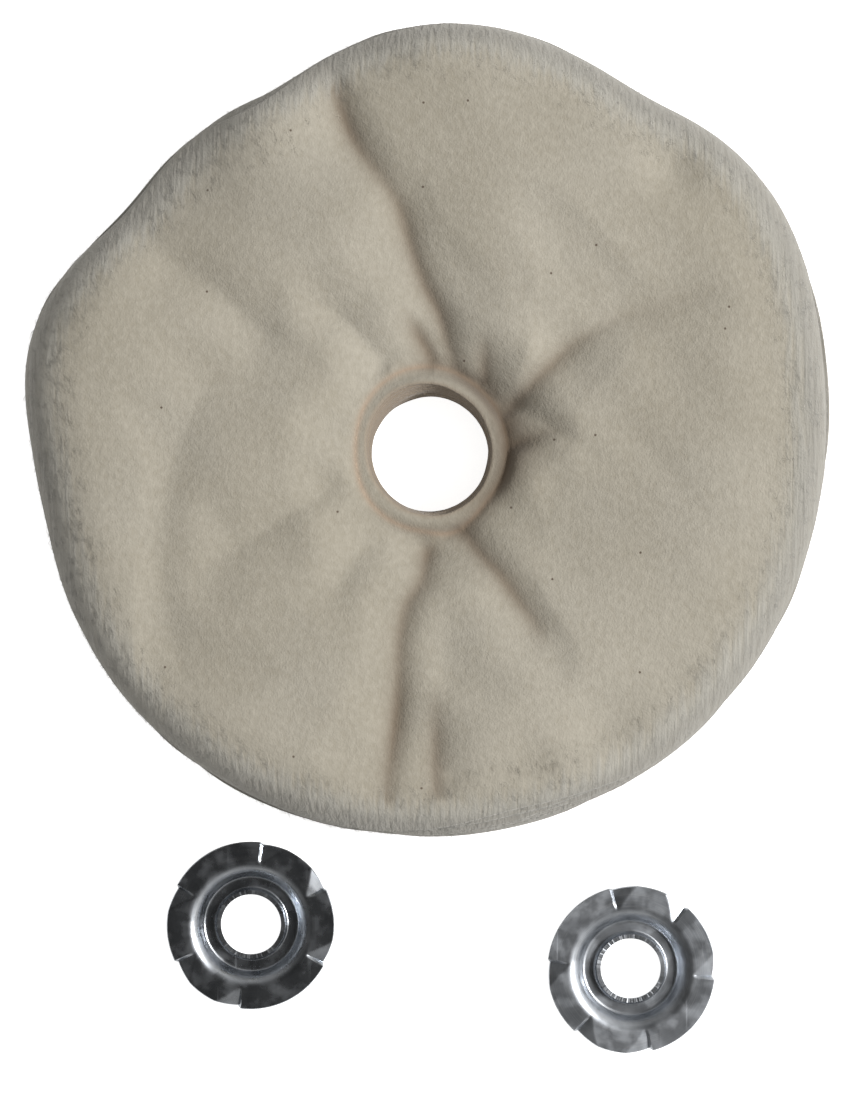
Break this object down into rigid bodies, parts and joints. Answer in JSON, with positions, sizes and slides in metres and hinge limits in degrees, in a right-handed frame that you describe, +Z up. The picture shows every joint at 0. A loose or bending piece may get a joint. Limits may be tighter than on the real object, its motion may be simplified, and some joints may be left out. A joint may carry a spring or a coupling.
{
  "type": "polishing wheel",
  "caption": "Loose cotton-flannel polishing wheel, sewn round its arbor hole, with a pair of toothed reducing flanges that clamp it to a half-inch arbor.",
  "frame": {"origin": "middle of the laid-out set's footprint, on the bench that the wheel and both flanges lie on", "axes": "+Z up out of the bench, along the wheel's bore axis, which stands at x = 1.02 mm, y = 18.82 mm; the flanges lie towards -Y"},
  "size_m": [0.1702, 0.22, 0.019],
  "materials": {
    "flannel": "napped, unbleached cotton flannel",
    "cotton_thread": "twisted cotton sewing thread",
    "plated_steel": "bright zinc plate over stamped sheet"
  },
  "bodies": {
    "buff": {"ply_01": "flannel", "ply_02": "flannel", "ply_03": "flannel", "ply_04": "flannel", "ply_05": "flannel", "ply_06": "flannel", "ply_07": "flannel", "ply_08": "flannel", "ply_09": "flannel", "ply_10": "flannel", "ply_11": "flannel", "ply_12": "flannel", "ply_13": "flannel", "ply_14": "flannel", "ply_15": "flannel", "ply_16": "flannel", "ply_17": "flannel", "ply_18": "flannel", "ply_19": "flannel", "ply_20": "flannel", "bobbin_thread": "cotton_thread", "needle_thread": "cotton_thread"},
    "front_flange": {"front_flange": "plated_steel"},
    "back_flange": {"back_flange": "plated_steel"}
  },
  "joints": [
    {"name": "front_flange_lift", "type": "slide", "parent": "buff", "child": "front_flange", "axis": [0, 0, 1], "range_m": [0, 0.06]},
    {"name": "back_flange_lift", "type": "slide", "parent": "buff", "child": "back_flange", "axis": [0, 0, 1], "range_m": [0, 0.06]}
  ]
}
